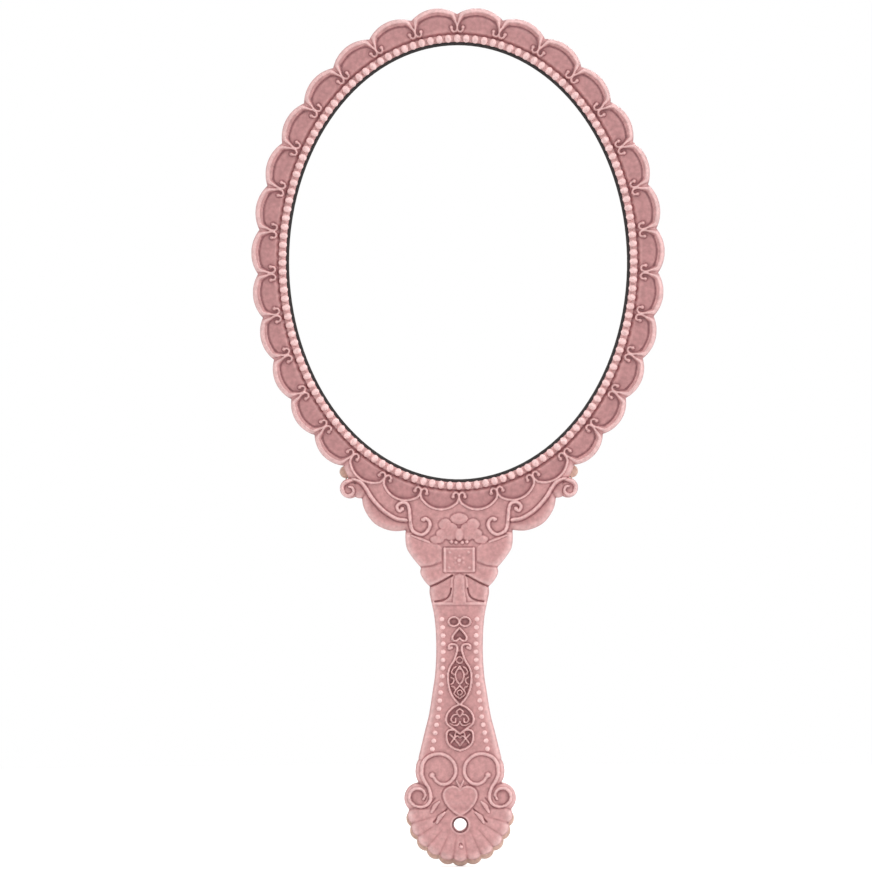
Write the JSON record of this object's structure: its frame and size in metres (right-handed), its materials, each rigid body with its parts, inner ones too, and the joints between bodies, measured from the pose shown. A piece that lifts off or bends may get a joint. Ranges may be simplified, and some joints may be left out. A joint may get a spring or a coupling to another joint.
{
  "type": "hand mirror",
  "caption": "Hand mirror with an oval glass in a scalloped beaded frame, a waisted handle with raised scroll work, and a fan-shaped end with a hang hole.",
  "frame": {"origin": "centre of the hang hole, on the parting plane of the two halves of the body", "axes": "+Z from the handle end to the head, -Y the way the mirror faces, X across; the mirror is symmetric about the YZ plane"},
  "size_m": [0.1184, 0.01, 0.2456],
  "materials": {
    "rose_plastic": "moulded ABS, dusty rose, low gloss, paler on the raised work",
    "back_plastic": "moulded ABS, a slightly tanner rose than the front",
    "silvered_glass": "float glass, silvered on its back",
    "black_rubber": "black, matt",
    "grey_foam": "closed-cell foam, grey"
  },
  "bodies": {
    "root": {"front_frame": "rose_plastic", "back_shell": "back_plastic", "mirror_glass": "silvered_glass", "glass_gasket": "black_rubber", "foam_pad": "grey_foam"}
  },
  "joints": []
}
